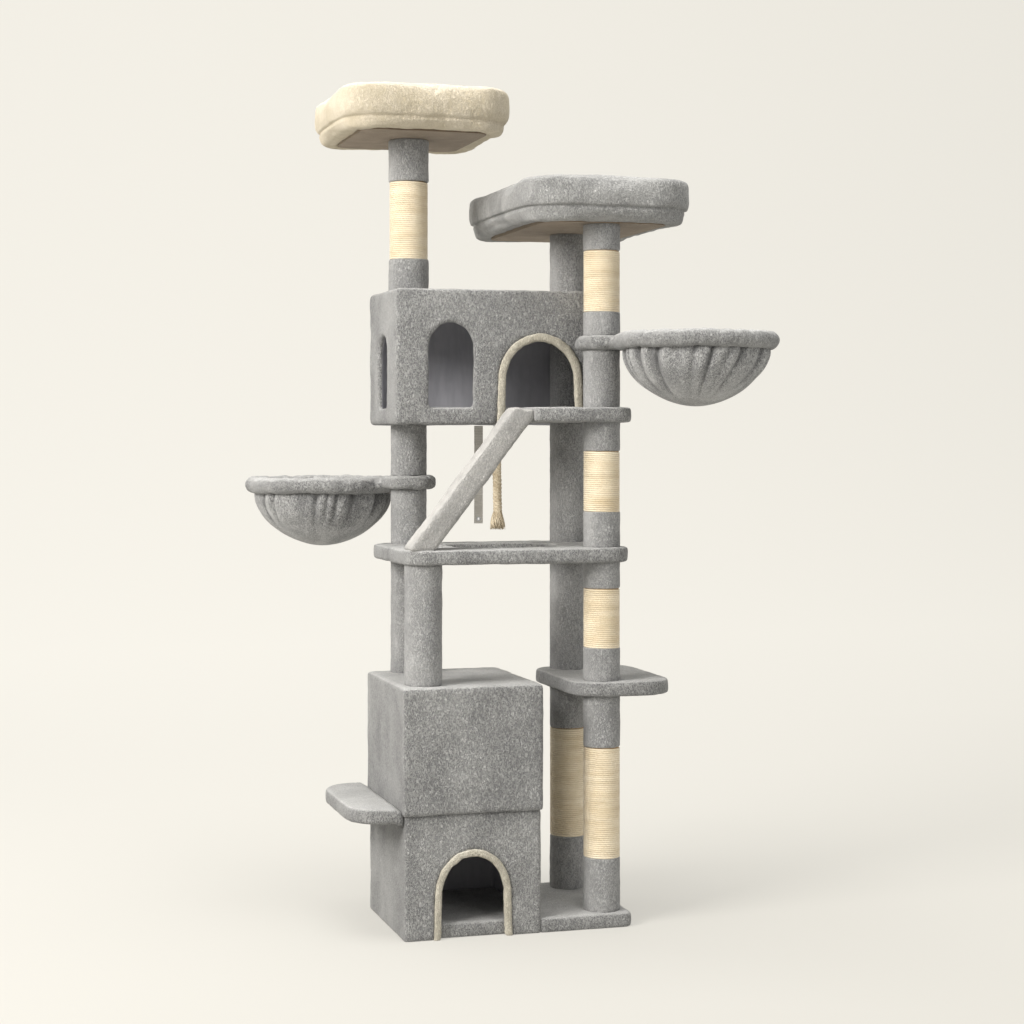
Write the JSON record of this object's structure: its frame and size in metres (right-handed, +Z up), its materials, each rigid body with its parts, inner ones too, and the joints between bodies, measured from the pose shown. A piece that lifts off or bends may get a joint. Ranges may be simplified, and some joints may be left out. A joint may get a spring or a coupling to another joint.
{
  "type": "cat tree",
  "caption": "Tall plush cat tree: two stacked houses, ramp, condo with arched openings, perch beds, bowl hammocks that swivel on their posts, sisal posts, a hanging rope and a wall strap.",
  "frame": {"origin": "centre of the base's underside", "axes": "+X right, +Y back, +Z up; the doorways face -Y"},
  "size_m": [1.1854, 1.0284, 2.061],
  "materials": {
    "plush_board": "short light grey pile over chipboard",
    "grey_plush": "short light grey pile",
    "cream_plush": "short cream pile",
    "sisal": "wound natural twine",
    "cardboard": "wound paper tube",
    "birch": "raw turned wood",
    "taupe_cloth": "board under thin taupe cloth",
    "zinc_steel": "zinc plated",
    "webbing": "woven tape"
  },
  "bodies": {
    "tree": {"base_board": "plush_board", "lower_house_front": "plush_board", "lower_house_left": "plush_board", "lower_house_right": "plush_board", "lower_house_back": "plush_board", "lower_door_trim": "cream_plush", "middle_shelf": "plush_board", "upper_house_front": "plush_board", "upper_house_left": "plush_board", "upper_house_right": "plush_board", "upper_house_back": "plush_board", "upper_house_top": "plush_board", "right_step": "plush_board", "middle_platform": "plush_board", "ramp": "plush_board", "ramp_bolts": "zinc_steel", "condo_floor": "plush_board", "condo_front": "plush_board", "condo_left": "plush_board", "condo_right": "plush_board", "condo_back": "plush_board", "condo_roof": "plush_board", "condo_door_trim": "cream_plush", "front_right_tubes": "cardboard", "rear_right_tubes": "cardboard", "left_tubes": "cardboard", "front_right_plush": "grey_plush", "rear_right_plush": "grey_plush", "left_plush": "grey_plush", "front_right_sisal": "sisal", "rear_right_sisal": "sisal", "left_sisal": "sisal", "post_end_plugs": "birch", "post_studs": "zinc_steel", "post_bolts": "zinc_steel", "panel_screws": "zinc_steel", "left_perch_board": "taupe_cloth", "left_perch_wrap": "cream_plush", "left_perch_bolster": "cream_plush", "left_perch_cushion": "cream_plush", "right_perch_board": "taupe_cloth", "right_perch_wrap": "grey_plush", "right_perch_bolster": "grey_plush", "right_perch_cushion": "grey_plush", "rope_eye": "zinc_steel"},
    "left_hammock": {"left_hammock_bracket": "zinc_steel", "left_hammock_hoop": "zinc_steel", "left_hammock_collar": "grey_plush", "left_hammock_rim": "grey_plush", "left_hammock_bowl": "grey_plush"},
    "right_hammock": {"right_hammock_bracket": "zinc_steel", "right_hammock_hoop": "zinc_steel", "right_hammock_collar": "grey_plush", "right_hammock_rim": "grey_plush", "right_hammock_bowl": "grey_plush"},
    "hanging_rope": {"rope_toy": "sisal", "rope_tassel": "sisal"},
    "wall_strap": {"strap": "webbing", "strap_eyelet": "zinc_steel"}
  },
  "joints": [
    {"name": "left_hammock_swivel", "type": "hinge", "parent": "tree", "child": "left_hammock", "pos_m": [-0.195, 0.139, 1.0785], "axis": [0, 0, 1], "range_deg": [-45, 75]},
    {"name": "right_hammock_swivel", "type": "hinge", "parent": "tree", "child": "right_hammock", "pos_m": [0.227, -0.1416, 1.4335], "axis": [0, 0, 1], "range_deg": [-75, 40]},
    {"name": "rope_swing", "type": "hinge", "parent": "tree", "child": "hanging_rope", "pos_m": [0.006, 0.03, 1.231], "axis": [0, 1, 0], "range_deg": [-35, 35]},
    {"name": "strap_swing", "type": "hinge", "parent": "tree", "child": "wall_strap", "pos_m": [0.008, 0.206, 1.2305], "axis": [1, 0, 0], "range_deg": [-15, 85]}
  ]
}
